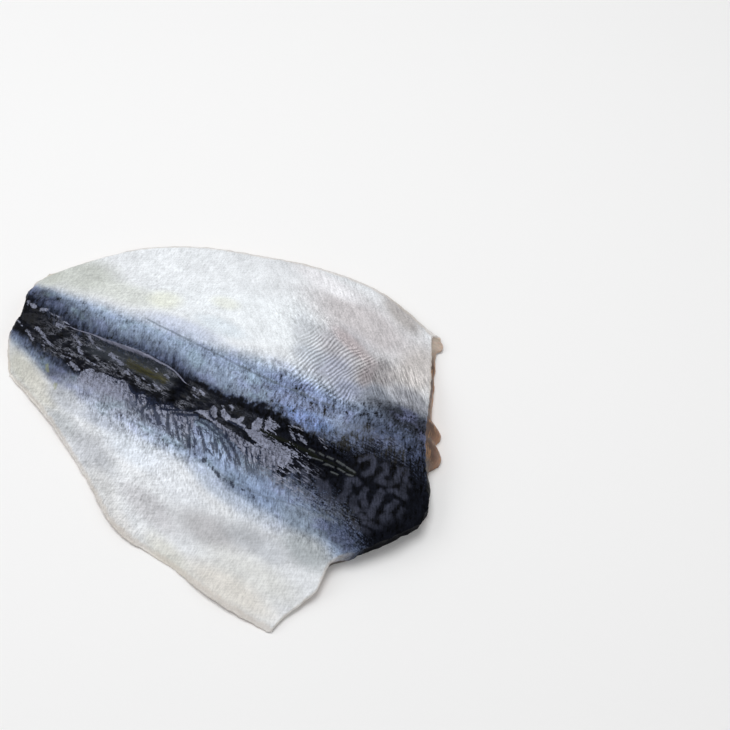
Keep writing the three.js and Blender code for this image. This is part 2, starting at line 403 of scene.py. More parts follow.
# Pale stripes of the nape.
TIGER_STRIPES = [
    (3, (161.5, -11.8), (164.6, -15.3)), (3, (169.5, -12.7), (172, -16.4), (174.9, -19)),
    (3.4, (172.5, -12.5), (175, -15.5), (178.4, -20)),
    (3, (181.4, -7.7), (182.3, -10.9), (182.3, -14.6), (181.2, -17.2)),
    (2.6, (181.9, -17.5), (183.7, -15.6)), (3, (186.5, -13.1), (187.7, -16), (190.5, -18)),
    (3, (189.5, -7.1), (189.7, -10.6), (192.1, -13), (193.7, -15.7)),
    (3.6, (196.2, -4.9), (196.6, -9.1), (196.6, -13.5), (197.1, -17.7)),
    (2.4, (193.3, -19.9), (196.6, -19.1)),
    (3, (204.3, -6.4), (203.1, -9.6), (203.1, -13.5), (202.4, -17.3), (205.9, -16.7), (205.1, -13.8)),
    (2.6, (185.3, 8.5), (187.4, 6.3), (187.8, 2.7), (185.9, 0.2)),
    (2.4, (180.9, 5.3), (182.5, 7.2), (184.3, 8.7)),
    (2.6, (192.2, 7.8), (194.2, 4.9), (192.7, 2.3), (192.5, 0.2), (195.3, 0.3)),
    (2.8, (199.4, 8.5), (199.8, 4.9), (199.3, 2.2), (196.6, 0.1)),
    (2.6, (204.4, 2.7), (204.9, -0.4), (206.7, -2.2)), (2.6, (199.4, -1.8), (202.1, -1.1), (205.7, -2)),
    (2.4, (202.4, 10), (203.6, 6.1), (205.9, 4)), (3, (185.3, -5.6), (183.2, -4.4), (180.7, -5.8)),
    (2.6, (208.3, -8.3), (209.3, -12.3), (211.7, -14.7)),
    (2.2, (196.6, -21.5), (202.4, -20.9), (207.8, -19.5)),
    (2.2, (191.6, -23.9), (195.8, -24.9), (200.6, -24.8)),
]
# Painted glints where the ridges end.
GLINTING_CREST = [(2, (132, 68), (141, 61), (151, 59), (158, 55), (163, 47))]
FINGERPRINT = {"x": 248, "y": 11, "pitch": 1.85}  # the ridges' common centre

# Tints that lie over the ground colours, each over those before it: x, y, half length, half width, turn
# in degrees, screen colour and strength. Many are painted light and shade: highlights, shade where the
# skin turns away or down, and the reflection in the wet film.
TINTS_AND_PAINTED_LIGHT = [
    # The far flank's pearl, from its middle to the tail, with a painted highlight and painted shade at its
    # rim.
    (100, 52, 60, 18, 6, (233, 238, 242), 0.9),
    (60, 66, 40, 14, 14, (231, 235, 239), 0.8),
    (14, 38, 20, 12, 8, (194, 198, 193), 0.95),
    (-2, 31, 8, 7, 0, (186, 190, 183), 0.8),
    (90, 39, 15, 5, 0, (213, 222, 230), 0.8),
    (108, 90, 14, 4, -4, (202, 203, 205), 0.8),
    (40, 37, 20, 7, 6, (211, 215, 210), 0.8),
    # Its painted shade towards the head cut.
    (150, 74, 36, 14, -10, (195, 191, 193), 0.95),
    (146, 56, 18, 12, -5, (176, 175, 181), 0.95),
    (150, 42, 15, 9, 0, (158, 162, 178), 0.9),
    (168, 50, 13, 12, 0, (153, 150, 152), 0.95),
    (184, 62, 12, 16, 0, (197, 192, 190), 0.9),
    (172, 38, 11, 7, 0, (132, 138, 150), 0.9),
    (150, 60, 16, 4, -22, (180, 169, 170), 0.7),
    (164, 46, 4, 8, 10, (146, 139, 142), 0.7),
    (188, 44, 13, 7, -10, (140, 142, 150), 0.9),
    # The dark side of the nape, and what lies between it and the pearl.
    (192, 21, 36, 14, -2, (70, 78, 96), 0.95),
    (193, 33, 21, 7.5, -3, (42, 45, 54), 0.97),
    (160, 34, 8, 6, 0, (138, 144, 164), 0.85),
    (128, 54, 15, 7, -51, (192, 196, 202), 0.85),
    (135, 43.5, 9, 6, 0, (176, 182, 192), 0.8),
    (128, 16, 10, 5, -4, (108, 119, 145), 0.8),
    # Painted shade where the far rim turns down by the head cut.
    (163, 87.5, 16, 5.5, -26, (174, 170, 169), 0.95),
    # Beside the dark back, at the tail.
    (5, 17, 11, 6, -10, (66, 71, 78), 0.85),
    (22, 17, 16, 4.5, -4, (84, 93, 108), 0.6),
    (34, -15.5, 14, 4, -6, (82, 88, 108), 0.9),
    # Yellowish patches on the pearl.
    (58, 42, 9, 6, 10, (228, 231, 214), 0.6),
    (85, 53, 8, 4, 4, (228, 231, 216), 0.5),
    # The nape's corner, the far flank's blue band, and painted highlights on the band and its pale edge.
    (206, 26, 8, 16, 20, (58, 62, 76), 0.95),
    (150, 12.5, 16, 6, -6, (90, 114, 158), 0.95),
    (142, 22, 26, 8, -2, (110, 122, 152), 0.95),
    (74, 31, 22, 5, 2, (186, 196, 220), 0.6),
    (124, 86.5, 21, 4.5, -6, (236, 236, 240), 0.95),
    # The near flank's blue band, with the painted reflection in the wet film over its upper part.
    (54, -12.5, 18, 5, -2, (130, 135, 152), 0.95),
    (60, -19, 28, 5, -2, (156, 163, 180), 0.9),
    (90, -15.5, 18, 6, -4, (122, 127, 143), 0.95),
    (102, -19, 16, 6, -10, (141, 150, 171), 0.9),
    (122, -22, 16, 6, -14, (145, 161, 189), 0.9),
    (70, -26.5, 28, 4.5, -2, (178, 185, 199), 0.8),
    (90, -25.5, 10, 3.4, -4, (150, 160, 180), 0.8),
    (128, -17.5, 6, 2.4, -30, (92, 102, 124), 0.7),
    # Its pearl under the band, with painted light and shade over its swells.
    (88, -34, 22, 6, -6, (219, 226, 236), 0.9),
    (112, -40, 18, 7, -10, (226, 230, 236), 0.9),
    (66, -42, 16, 8, -20, (184, 187, 193), 0.85),
    (104, -54, 20, 6, -14, (196, 196, 200), 0.85),
    (134, -52, 19, 7, -6, (184, 184, 187), 0.95),
    # The band's blue and painted shade towards the nape.
    (128, -33, 16, 5, -12, (176, 188, 207), 0.7),
    (135, -30, 7, 3.4, -8, (96, 107, 126), 0.7),
    (150, -28, 20, 6.5, -2, (126, 142, 170), 0.95),
    (172, -32, 16, 6, -4, (128, 141, 158), 0.9),
    (188, -31, 12, 5, -8, (78, 88, 106), 0.9),
    # The pale belly towards the head cut.
    (178, -43, 14, 7, -4, (168, 174, 178), 0.95),
    (156, -48, 18, 6, -2, (180, 183, 188), 0.95),
    (164, -49.5, 7, 5, -4, (208, 212, 218), 0.8),
    (160, -62, 26, 8, -2, (212, 213, 211), 0.9),
    (154, -72, 28, 7, -6, (213, 210, 204), 0.95),
    # The tail end and the thin belly wall.
    (14, -19, 14, 6, -22, (196, 196, 188), 0.95),
    (28, -25, 14, 6, -25, (198, 197, 190), 0.9),
    (42, -24, 12, 5, -10, (184, 188, 195), 0.9),
    (80, -56, 16, 7, -30, (205, 206, 207), 0.9),
    (46, -34.5, 10, 5, -16, (184, 188, 192), 0.85),
    (98, -68, 13, 5, -30, (200, 199, 198), 0.8),
    (122, -70, 16, 6, -20, (208, 208, 202), 0.9),
]
# Screen colours of the skin.
PEARL = (222, 225, 229)
BAND_BLUE = (146, 162, 186)
DEEP_BLUE = (88, 98, 116)
VIOLET_HUE = (150, 158, 204)
GREEN_HUE = (146, 172, 182)
NAVY = (58, 66, 88)
NEAR_BLACK = (10, 12, 19)
STRIPE_GREY = (54, 57, 70)
LEAF_OLIVE = (58, 56, 26)
CHANNEL_OLIVE = (19, 22, 17)
# A painted highlight on the ray stumps.
STUMP_HIGHLIGHT = (92, 96, 98)
# Painted sheen and painted glints of the wet black.
WET_SHEEN = (70, 75, 82)
WET_GLINT = (122, 125, 137)
# The painted reflection of the light in the wet film.
FILM_REFLECTION_GREY = (120, 124, 141)
FOLD_BLUE = (34, 40, 58)
LIP_GREY = (122, 124, 142)
LINE_GREY = (88, 98, 108)
BLOTCH_BLUE = (36, 42, 56)
SMEAR_GREEN = (138, 142, 92)
RIM_CREAM = (216, 205, 192)
# Screen colours of the meat.
PINK = (212, 178, 162)
ROSE = (190, 146, 128)
SEAM_CREAM = (232, 214, 200)
BACKBONE_RED = (118, 58, 48)
LINING_GREY = (186, 176, 174)
RIB_CREAM = (230, 218, 208)
FIBRE_CREAM = (230, 206, 190)
EDGE_CREAM = (216, 202, 190)
CUT_BROWN = (156, 104, 56)
# Painted shade of the cut's meat under the skin.
CUT_IN_SHADE = (62, 36, 22)
CUT_RED = (104, 56, 40)
CUT_TAN = (186, 138, 88)
CUT_PALE = (198, 184, 170)
# Painted shadow over the near side of the cut.
CUT_SHADE = (20, 21, 27)


def stroke_field(x, y, strokes, curved=False):
    """How many millimetres inside the nearest stroke a point lies; negative outside."""
    field = np.full(np.shape(x), FAR_OUTSIDE)
    for width, *bends in strokes:
        if curved and len(bends) > 2:
            bends = through(bends)(np.linspace(0, 1, 3 * len(bends)))
        for (x0, y0), (x1, y1) in zip(bends[:-1], bends[1:]):
            run_x, run_y = x1 - x0, y1 - y0
            share = np.clip(((x - x0) * run_x + (y - y0) * run_y) / (run_x**2 + run_y**2), 0, 1)
            gap = np.hypot(x - x0 - share * run_x, y - y0 - share * run_y)
            field = np.maximum(field, width / 2 - gap)
    return field


def outline_field(x, y, outlines):
    """How many millimetres inside the nearest closed outline a point lies; negative outside."""
    field = np.full(np.shape(x), FAR_OUTSIDE)
    for bends in outlines:
        closed = bends + bends[:1]
        to_edge = -stroke_field(x, y, [(0, *closed)])
        inside = np.zeros(np.shape(x), bool)
        for (x0, y0), (x1, y1) in zip(closed[:-1], closed[1:]):
            if y0 != y1:
                crosses = (y0 > y) != (y1 > y)
                inside ^= crosses & (x < x0 + (y - y0) * (x1 - x0) / (y1 - y0))
        field = np.maximum(field, np.where(inside, to_edge, -to_edge))
    return field


def follow(x, rows):
    """What rows that start with x say at each x, column by column."""
    at_x, *columns = np.array(rows, float).T
    return [np.interp(x, at_x, column) for column in columns]


def past_ends(x, rows):
    """Millimetres past either end of such rows, negative between them."""
    return np.maximum(rows[0][0] - x, x - rows[-1][0])


def band_field(x, y, edges):
    """How far inside a band that follows the back a point lies, in units of the band's fade."""
    far, far_fade = follow(x, edges["far"])
    near, near_fade = follow(x, edges["near"])
    return np.minimum((far - y) / far_fade, (y - near) / near_fade)


def past_band(x, y, edges):
    """Millimetres past a band that follows the back, negative within it."""
    far, near = follow(x, edges["far"])[0], follow(x, edges["near"])[0]
    return np.maximum(y - far, near - y)


def line_distance(x, y, lines):
    """Signed distance from the line that runs along this flank."""
    (far,), (near,) = follow(x, lines["far"]), follow(x, lines["near"])
    beside = np.where(y > 0, y - far, near - y)
    past = np.where(y > 0, past_ends(x, lines["far"]), past_ends(x, lines["near"]))
    return beside + np.sign(beside) * np.maximum(past, 0)


def lip_field(x, y):
    """Distance across the slit's lip, in units of half its width, signed, and growing past its ends."""
    middle, half = follow(x, LIP)
    beside = (y - middle) / half
    return beside + np.sign(beside) * np.maximum(past_ends(x, LIP), 0)


def srgb(colour):
    """An 0 to 255 screen colour as the linear values that Blender uses."""
    share = np.array(colour, float) / 255
    return np.where(share <= 0.04045, share / 12.92, ((share + 0.055) / 1.055) ** 2.4)


def blue_share(x, y):
    return soft_step(band_field(x, y, BLUE_EDGE), -1, 1)


def ground_colour_and_painted_light(x, y):
    """The skin's broad colours, painted light and shade among them, before its dark back, reflection and fine
    marks.
    """
    colour = between(srgb(PEARL), srgb(BAND_BLUE), blue_share(x, y)[..., None])
    by_back = 0.7 * bell(np.maximum(past_band(x, y, DARK_EDGE), 0), 6)
    colour = between(colour, srgb(DEEP_BLUE), by_back[..., None])
    for at_x, at_y, long, wide, degrees, tint, strength in TINTS_AND_PAINTED_LIGHT:
        turn = math.radians(degrees)
        along = (x - at_x) * math.cos(turn) + (y - at_y) * math.sin(turn)
        aside = (y - at_y) * math.cos(turn) - (x - at_x) * math.sin(turn)
        cover = strength * soft_step(1 - np.hypot(along / long, aside / wide), -0.35, 0.6)
        colour = between(colour, srgb(tint), cover[..., None])
    return colour


# ---- The mesh ----
FLANKS = {side: flank(side) for side in SIGN}


def find_spots(a, c, k):
    """Where the box's points come to lie, in shares and millimetres: a along the fish, c across it, k up."""
    far, t = c >= 0, np.abs(c)
    near_place, near_width = FLANKS["near"]
    far_place, far_width = FLANKS["far"]
    x, y = np.where(far[:, None], far_place(a, t), near_place(a, t)).T
    spots = {"far": far, "a": a, "t": t, "up": k, "x": x, "y": y, "off_back": y - back_line(x)}
    spots["to_belly"] = (1 - t) * np.where(far, far_width(a), near_width(a))
    spots["to_head"] = (1 - a) * BODY_LENGTH
    spots["to_tail"] = a * BODY_LENGTH
    spots["to_edge"] = np.minimum(np.minimum(spots["to_belly"], spots["to_head"]), spots["to_tail"])
    return spots


def flap_lift(far, a, t):
    """How far the belly edges' waves lift off the surface."""
    waves = by_flank(far, FLAP_WAVES)
    return FLAP_LIFT * (1 - np.cos(2 * np.pi * waves * a)) / 2 * soft_step(t, FLAP_STARTS, 1)


def skin_height(spots):
    """How high the skin lies over the surface that the fish lies on."""
    far, a, t, x, y, off_back = (spots[name] for name in ("far", "a", "t", "x", "y", "off_back"))
    to_belly, to_head, to_tail = spots["to_belly"], spots["to_head"], spots["to_tail"]
    towards_back = 1 - soft_step(t, 0.1, 0.75)
    droop = NAPE_DROOP["depth"] * towards_back * soft_step(a, NAPE_DROOP["start"], 1) ** 2
    droop = droop + TAIL_DROOP["depth"] * (1 - soft_step(a, 0, TAIL_DROOP["end"]))
    rim = rounded(to_belly, by_flank(far, RIM_ROUND))
    rim = rim + rounded(to_head, RIM_ROUND["cut"]) + rounded(to_tail, RIM_ROUND["cut"])
    skin = flap_lift(far, a, t) + flank_thickness(far, a, t) - droop
    skin = skin + dorsal_groove(x, off_back) + fin_slit(x, off_back) + flank_waves(x, y)
    relief = skin_relief(x, y, off_back) * soft_step(np.minimum(to_belly, to_head), 0, 3)
    return skin + relief - np.minimum(rim, skin * 0.6)


def under_height(spots):
    """How high the meat side lies over that surface."""
    a, off_back = spots["a"], spots["off_back"]
    depth = BONE_CHANNEL["depth"] * soft_step(a, BONE_CHANNEL["start"], BONE_CHANNEL["full"])
    channel = depth * bell(off_back, BONE_CHANNEL["width"])
    under = flap_lift(spots["far"], a, spots["t"]) + channel
    to_rim = np.minimum(spots["to_belly"], spots["to_head"])
    return under + flake_relief(spots["x"], off_back) * soft_step(to_rim, 0, 4)


def push_edges(spots):
    """Where the points lie once the edges swell and fray, and the raw meat stands out at the head cut."""
    far, a, t, x, y, k = (spots[name] for name in ("far", "a", "t", "x", "y", "up"))
    to_belly, to_head, to_tail = spots["to_belly"], spots["to_head"], spots["to_tail"]
    meat_shows = (1 - k**3) * soft_step(a, 0.95, 1)
    flare = by_flank(far, HEAD_FLARE) * soft_step(t, 0, 0.15)
    lobes = sum(out * np.exp(-np.abs((y - at) / (LOBE_BREADTH * wide)) ** 3) for at, out, wide in MEAT_LOBES)
    swell = WALL_BULGE * np.sin(np.pi * k)
    ragged = grain(x, y, (5, 5), 4, 3, z=k * 0.8)
    x = x + (flare + lobes) * meat_shows
    x = x + RAGGED["head"] * ragged * bell(to_head, RAGGED["reach"])
    x = x - RAGGED["tail"] * ragged * bell(to_tail, RAGGED["reach"])
    x = x - np.where(to_tail < ON_EDGE, swell, 0)
    fray = RAGGED["belly"] * ragged * bell(to_belly, RAGGED["reach"])
    y = y + by_flank(far, SIGN) * (fray + np.where(to_belly < ON_EDGE, swell, 0))
    return x, y


def fish_points(spots):
    """Bends the box into the fish."""
    x, y = push_edges(spots)
    z = between(under_height(spots), skin_height(spots), spots["up"])
    return np.stack([x, y, z], -1)


def skin_relief(x, y, off_back):
    """Fine shape of the skin: a soft wrinkling, folds beside the back and stumps of the cut fin."""
    wrinkles = RELIEF["wrinkles"] * grain(x, y, (9, 7), 3, 1)
    beside = bell(off_back + 5, 12) * soft_step(x, -5, 10) * (1 - soft_step(x, 150, 180))
    folds = RELIEF["folds"] * beside * grain(x, y, (5, 2.2), 3, 2)
    wet = RELIEF["wet"] * soft_step(stroke_field(x, y, GLINT_STROKES), -0.9, 0.5)
    clefts = RELIEF["clefts"] * soft_step(stroke_field(x, y, FOLDS), -0.8, 0.4)
    stumps = RELIEF["stumps"] * soft_step(stroke_field(x, y, STUMPS), -0.5, 0.5)
    lip = RELIEF["lip"] * bell(lip_field(x, y), 1.3)
    line = RELIEF["line"] * bell(line_distance(x, y, LATERAL_LINE), 0.9)
    return wrinkles + folds + wet - clefts + stumps + lip - line


def flake_relief(x, off_back):
    """Soft zigzag ridges of the muscle flakes on the meat side."""
    phase = (x + FLAKES["zigzag"] * np.cos(off_back * np.pi / FLAKES["half_wave"])) / FLAKES["pitch"]
    return FLAKES["height"] * (1 + np.cos(2 * np.pi * phase)) / 2


def boxed_mesh():
    """A closed box, cut into coarse cells underneath and fine ones on the skin and the walls."""
    bm = bmesh.new()
    bmesh.ops.create_cube(bm, size=1)
    for axis, name in enumerate(("along", "across", "through")):
        edges = [e for e in bm.edges if abs(e.verts[0].co[axis] - e.verts[1].co[axis]) > 0.5]
        bmesh.ops.subdivide_edges(bm, edges=edges, cuts=CELLS[name] - 1, use_grid_fill=True)
    fine = [e for e in bm.edges if not is_under(e)]
    bmesh.ops.subdivide_edges(bm, edges=fine, cuts=2, use_grid_fill=True)
    return bm


def is_under(edge):
    """Whether an edge of the box lies in its underside, off its rim."""
    ends = [v.co for v in edge.verts]
    on_rim = any(abs(sum(end[axis] for end in ends)) > 0.9999 for axis in (0, 1))
    return max(end.z for end in ends) < -0.4999 and not on_rim


def mesh_from(bm, name):
    mesh = bpy.data.meshes.new(name)
    bm.to_mesh(mesh)
    bm.free()
    return mesh


def place_object(name, data):
    made = bpy.data.objects.new(name, data)
    bpy.context.scene.collection.objects.link(made)
    return made


def vertex_array(mesh):
    flat = np.empty(len(mesh.vertices) * 3, np.float32)
    mesh.vertices.foreach_get("co", flat)
    return flat.reshape(-1, 3).astype(float)


def paint_fields(mesh, spots):
    """Stores on each vertex how it lies to the skin's marks, for the materials to read."""
    x, y = spots["x"], spots["y"]
    strokes = {
        "glints": GLINT_STROKES,
        "folds": FOLDS,
        "blotches": BLOTCHES,
        "green": GREEN_BLOTCHES,
        "leaf": OLIVE_LEAF,
        "channel": OLIVE_CHANNEL,
        "crest": GLINTING_CREST,
        "stumps": STUMPS,
    }
    fields = {name: stroke_field(x, y, marks) for name, marks in strokes.items()}
    fields["stripes"] = stroke_field(x, y, TIGER_STRIPES, curved=True)
    # Where the wet film shows a painted reflection.
    fields["film_and_reflection"] = outline_field(x, y, FILM_REFLECTION_OUTLINES)
    fields["dark"] = band_field(x, y, DARK_EDGE)
    fields["blue"] = blue_share(x, y)
    fields["lateral"] = line_distance(x, y, LATERAL_LINE)
    fields["lip"] = lip_field(x, y)
    for name in ("off_back", "to_edge", "to_head", "up"):
        fields[name] = spots[name]
    for name, values in fields.items():
        field = mesh.attributes.new(name, "FLOAT", "POINT")
        field.data.foreach_set("value", values.astype(np.float32))
    # The ground colour holds the tints' painted light and shade too.
    ground = mesh.attributes.new("ground", "FLOAT_COLOR", "POINT")
    colour = np.concatenate([ground_colour_and_painted_light(x, y), np.ones((len(x), 1))], 1)
    ground.data.foreach_set("color", colour.astype(np.float32).ravel())


def skin_reach(mesh, spots):
    """Picks the faces that are skin: all of the top, and the walls as far down as the skin reaches."""
    corners = [np.array(face.vertices) for face in mesh.polygons]
    up = np.array([spots["up"][c].mean() for c in corners])
    y = np.array([spots["y"][c].mean() for c in corners])
    at_head = np.array([spots["to_head"][c].max() < ON_EDGE for c in corners])
    ragged = 2 * np.sin(37 * up)
    return up > np.where(at_head, np.interp(y + ragged, *np.transpose(SKIN_AT_HEAD)), 0.5)


def make_mackerel(skin, meat):
    mesh = mesh_from(boxed_mesh(), "mackerel")
    box = vertex_array(mesh)
    a = crowd(box[:, 0] + 0.5, CROWDED_ROWS)
    c = np.clip(2 * crowd(box[:, 1] + 0.5, CROWDED_COLUMNS) - 1, -1, 1)
    spots = find_spots(a, c, box[:, 2] + 0.5)
    points = to_metres(fish_points(spots))
    mesh.vertices.foreach_set("co", points.astype(np.float32).ravel())
    paint_fields(mesh, spots)
    mesh.materials.append(skin)
    mesh.materials.append(meat)
    material = np.where(skin_reach(mesh, spots), 0, 1)
    mesh.polygons.foreach_set("material_index", material.astype(np.int32))
    mesh.shade_smooth()
    mesh.update()
    return place_object("mackerel", mesh)


# ---- Materials ----
class Value:
    """A number in a material. Sums on values add Math nodes."""

    def __init__(self, finish, socket):
        self.finish = finish
        self.socket = socket

    def sum(self, operation, *others, swap=False):
        values = [self, *others][::-1] if swap else [self, *others]
        node = self.finish.node("ShaderNodeMath", {"operation": operation}, dict(enumerate(values)))
        return Value(self.finish, node.outputs[0])

    def __add__(self, other):
        return self.sum("ADD", other)

    def __sub__(self, other):
        return self.sum("SUBTRACT", other)

    def __rsub__(self, other):
        return self.sum("SUBTRACT", other, swap=True)

    def __mul__(self, other):
        return self.sum("MULTIPLY", other)

    __radd__ = __add__
    __rmul__ = __mul__

    def size(self):
        return self.sum("ABSOLUTE")

    def sine(self):
        return self.sum("SINE")

    def at_most(self, other):
        return self.sum("MINIMUM", other)

    def at_least(self, other):
        return self.sum("MAXIMUM", other)

    def from_to(self, low, high):
        """0 below low, 1 above high, and a soft step between. low may be the larger one."""
        inputs = {"Value": self, "From Min": low, "From Max": high}
        node = self.finish.node("ShaderNodeMapRange", {"interpolation_type": "SMOOTHSTEP"}, inputs)
        return Value(self.finish, node.outputs[0])


class Finish:
    """One material: its shader, and the nodes that feed it."""

    def __init__(self, name):
        self.material = bpy.data.materials.new(name)
        self.material.use_nodes = True
        self.tree = self.material.node_tree
        self.shader = self.tree.nodes["Principled BSDF"]
        place = self.node("ShaderNodeTexCoord").outputs["Object"]
        scaled = self.node("ShaderNodeVectorMath", {"operation": "SCALE"}, {0: place, "Scale": 1 / MM})
        origin = (*FRAME_ORIGIN, 0)
        shifted = self.node("ShaderNodeVectorMath", {"operation": "ADD"}, {0: scaled.outputs[0], 1: origin})
        self.fish = shifted.outputs[0]  # millimetres on the fish
        parts = self.node("ShaderNodeSeparateXYZ", {}, {0: self.fish}).outputs
        self.x, self.y = Value(self, parts["X"]), Value(self, parts["Y"])

    def node(self, kind, settings=None, inputs=None):
        made = self.tree.nodes.new(kind)
        for name, value in (settings or {}).items():
            setattr(made, name, value)
        for key, value in (inputs or {}).items():
            self.feed(made.inputs[key], value)
        return made

    def feed(self, socket, value):
        if isinstance(value, Value):
            value = value.socket
        if isinstance(value, bpy.types.NodeSocket):
            self.tree.links.new(value, socket)
        else:
            socket.default_value = value

    def field(self, name):
        return Value(self, self.node("ShaderNodeAttribute", {"attribute_name": name}).outputs["Fac"])

    def noise(self, size, detail=2.0, rough=0.5, twist=0.0, turn=0.0, shift=0.0):
        """Noise from 0 to 1 with features of the given size in millimetres, along and across its own turn."""
        spot = self.fish
        if turn:
            inputs = {"Vector": spot, "Angle": math.radians(turn)}
            spot = self.node("ShaderNodeVectorRotate", {"rotation_type": "Z_AXIS"}, inputs).outputs[0]
        scale = (1 / size[0], 1 / size[1], 1 / size[0])
        inputs = {0: spot, 1: scale, 2: (shift, shift, shift)}
        spot = self.node("ShaderNodeVectorMath", {"operation": "MULTIPLY_ADD"}, inputs).outputs[0]
        inputs = {"Vector": spot, "Scale": 1.0, "Detail": detail, "Roughness": rough, "Distortion": twist}
        return Value(self, self.node("ShaderNodeTexNoise", {"noise_dimensions": "3D"}, inputs).outputs[0])

    def lit(self, colour, share):
        """A colour made lighter or darker by a share of itself."""
        if isinstance(colour, tuple):
            colour = tuple(srgb(colour))
        inputs = {0: colour, "Scale": share + 1}
        return self.node("ShaderNodeVectorMath", {"operation": "SCALE"}, inputs).outputs[0]

    def blend(self, share, under, over):
        """One colour over another, by the share that it covers."""
        node = self.node("ShaderNodeMix", {"data_type": "RGBA", "clamp_factor": True})
        self.feed(node.inputs["Factor"], share)
        colour_a, colour_b = node.inputs[6], node.inputs[7]
        for socket, colour in ((colour_a, under), (colour_b, over)):
            self.feed(socket, (*srgb(colour), 1) if isinstance(colour, tuple) else colour)
        return node.outputs[2]

    def dress(self, sockets):
        """Feeds the shader's own sockets."""
        for name, value in sockets.items():
            self.feed(self.shader.inputs[name], value)

    def bump(self, height, strength):
        """Bump from a height in millimetres."""
        inputs = {"Height": height, "Strength": strength, "Distance": MM}
        self.dress({"Normal": self.node("ShaderNodeBump", {}, inputs).outputs[0]})


def brushwork(f):
    """Noises that the layers of the skin share, about -0.5 to 0.5."""
    made = {
        "across": f.noise((0.8, 4.5), detail=1, turn=-26),
        "leaning": f.noise((0.8, 4), detail=1, turn=5, shift=3),
        "along": f.noise((4.5, 0.8), detail=1, turn=-26, shift=41),
        "grit": f.noise((0.7, 0.7), detail=1, shift=9),
        "brush": f.noise((2, 8), turn=-26, shift=43),
        "mottle": f.noise((3.2, 2.6), detail=3, rough=0.55, twist=0.8, shift=4),
        "cloud": f.noise((10, 7), shift=7),
        "soft": f.noise((3, 3), shift=12),
        "jag": f.noise((1, 2.2), detail=4, rough=0.62, twist=0.8, turn=-12, shift=6),
        "streak": f.noise((3.4, 0.65), detail=3, rough=0.55, turn=8, shift=11),
        "silk": f.noise((0.9, 7), turn=-46, shift=51),
        "hair": f.noise((0.8, 10), turn=-26, shift=53),
    }
    return {name: value - 0.5 for name, value in made.items()}


def threads(cloud, wide, thin):
    """Thin curling lines, where a noise passes its middle."""
    return (cloud - 0.5).size().from_to(wide, thin)


def skin_strokes(f, n, blue):
    """How much lighter or darker fine strokes make the skin, more so in the blue band."""
    to_nape = f.x.from_to(70, 110)
    far, near = f.y.from_to(0, 8), f.y.from_to(-16, -24)
    silky = far * to_nape * (1 - blue)
    calm = 1 - silky * 0.7
    shade = n["across"] * (0.2 + blue * 0.85) + n["leaning"] * (0.45 + blue * 0.5) * calm
    shade = shade + n["along"] * 0.3 * calm
    shade = shade + n["grit"] * (0.26 + far * 0.22 + blue * 0.3)
    shade = shade + n["silk"] * silky * 0.5
    shade = shade + n["brush"] * (0.05 + blue * 0.8)
    shade = shade + n["mottle"] * (0.1 + blue * 1.25)
    shade = shade + n["cloud"] * (0.35 + blue * 0.3)
    stronger = f.x.from_to(100, 140) * far * (0.3 + blue * 0.6)
    shade = shade * (1 + stronger + near * f.x.from_to(124, 96) * 0.7)
    shade = shade + n["hair"] * (near * to_nape * f.y.from_to(-50, -38)) * 0.9
    flecks = f.noise((1.5, 3.2), twist=0.6, turn=-38, shift=49).from_to(0.54, 0.72)
    return shade - flecks * blue * 0.24


def broad_colours(f, n):
    """The ground colours, painted light and shade included, with their fine strokes. Gives the strokes too.
    """
    blue = f.field("blue")
    shade = skin_strokes(f, n, blue)
    ground = f.node("ShaderNodeAttribute", {"attribute_name": "ground"}).outputs["Color"]
    hue = f.noise((11, 7), shift=15)
    colour = f.blend(blue * hue.from_to(0.52, 0.68) * 0.25, ground, VIOLET_HUE)
    colour = f.blend(blue * hue.from_to(0.46, 0.34) * f.x.from_to(150, 120) * 0.25, colour, GREEN_HUE)
    return f.lit(colour, shade), shade


def ridges(f, n):
    """Fingerprint ridges on the far flank as painted light and dark lines, with streaks, crinkles and painted
    glints beside them.
    """
    x, y = f.x, f.y
    from_x = x - FINGERPRINT["x"]
    from_y = y - FINGERPRINT["y"]
    wander = (f.noise((14, 14), detail=1) - 0.5) * 6 + n["soft"] * 1.2
    radius = (from_x * from_x + from_y * from_y).sum("SQRT") + wander
    ring = (radius * (2 * math.pi / FINGERPRINT["pitch"])).sine()
    zone = x.from_to(122, 136) * x.from_to(172, 158) * y.from_to(18, 27) * y.from_to(64, 56)
    zone = zone * f.noise((7, 7), shift=17).from_to(0.3, 0.52)
    fan = f.noise((5, 0.6), turn=50, shift=25) - 0.5
    fan = fan * x.from_to(156, 166) * x.from_to(202, 190) * y.from_to(34, 42) * y.from_to(68, 56)
    crinkle = f.noise((1.4, 3.4), twist=1.5, turn=-46, shift=57) - 0.5
    crinkle = crinkle * x.from_to(100, 116) * x.from_to(152, 136) * y.from_to(50, 60) * y.from_to(84, 74)
    # Painted glints along the crest.
    sparkle = (f.field("crest") + n["soft"] * 2).from_to(-1.6, 0.8) * n["grit"].from_to(0.03, 0.12)
    return ring * zone * 0.38 + fan * 2.3 + sparkle * 0.4 + crinkle


